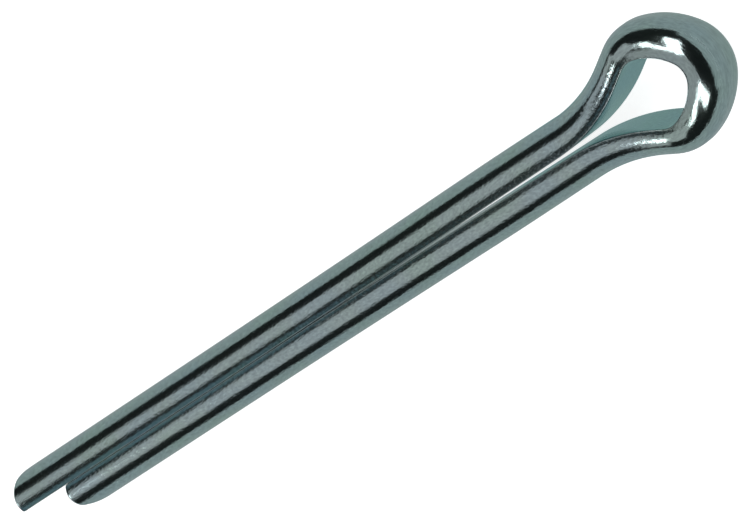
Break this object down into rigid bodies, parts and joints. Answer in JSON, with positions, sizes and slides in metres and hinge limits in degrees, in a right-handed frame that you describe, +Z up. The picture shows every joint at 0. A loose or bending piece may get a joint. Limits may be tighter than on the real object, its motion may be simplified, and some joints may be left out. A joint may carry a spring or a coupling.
{
  "type": "cotter pin",
  "caption": "Half-round wire folded flat side in to a rounded eye and two close, nearly parallel legs, one a little longer, that locks a nut or shaft through a cross hole.",
  "frame": {"origin": "on the surface the pin lies on, under the middle of its bounding box", "axes": "+X along the pin towards its eye, +Y across the legs towards the long one, +Z up, square to the plane of the loop"},
  "size_m": [0.074, 0.0108, 0.0059],
  "materials": {
    "zinc_steel": "bright zinc plate with a faint blue cast, drawn wire grain along the legs"
  },
  "bodies": {
    "root": {"cotter_pin": "zinc_steel"}
  },
  "joints": []
}
